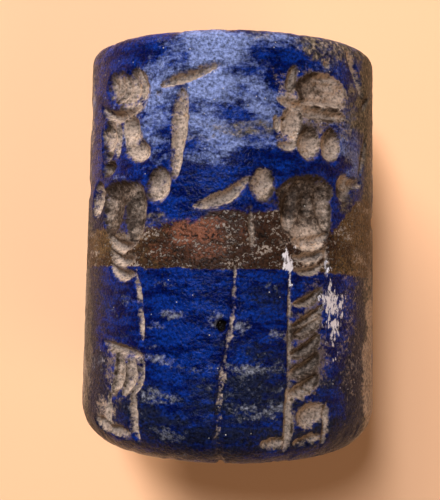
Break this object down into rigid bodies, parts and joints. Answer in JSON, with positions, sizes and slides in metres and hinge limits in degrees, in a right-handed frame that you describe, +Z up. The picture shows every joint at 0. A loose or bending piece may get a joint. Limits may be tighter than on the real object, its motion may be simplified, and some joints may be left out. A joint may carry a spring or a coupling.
{
  "type": "cylinder seal",
  "caption": "Small drilled roller of lapis lazuli, cut all round with standing figures, that leaves their picture when it is rolled over soft clay.",
  "frame": {"origin": "middle of the outline box on the surface that the seal lies on", "axes": "+Y along the bore, from the figures' feet to their heads; +Z up out of the pictured side"},
  "size_m": [0.0158, 0.0208, 0.0154],
  "materials": {
    "lapis_lazuli": "worn polish, ultramarine mottled with grey, a rust-brown band, tan earth in the carving and white chalky specks"
  },
  "bodies": {
    "root": {"cylinder_seal": "lapis_lazuli"}
  },
  "joints": []
}
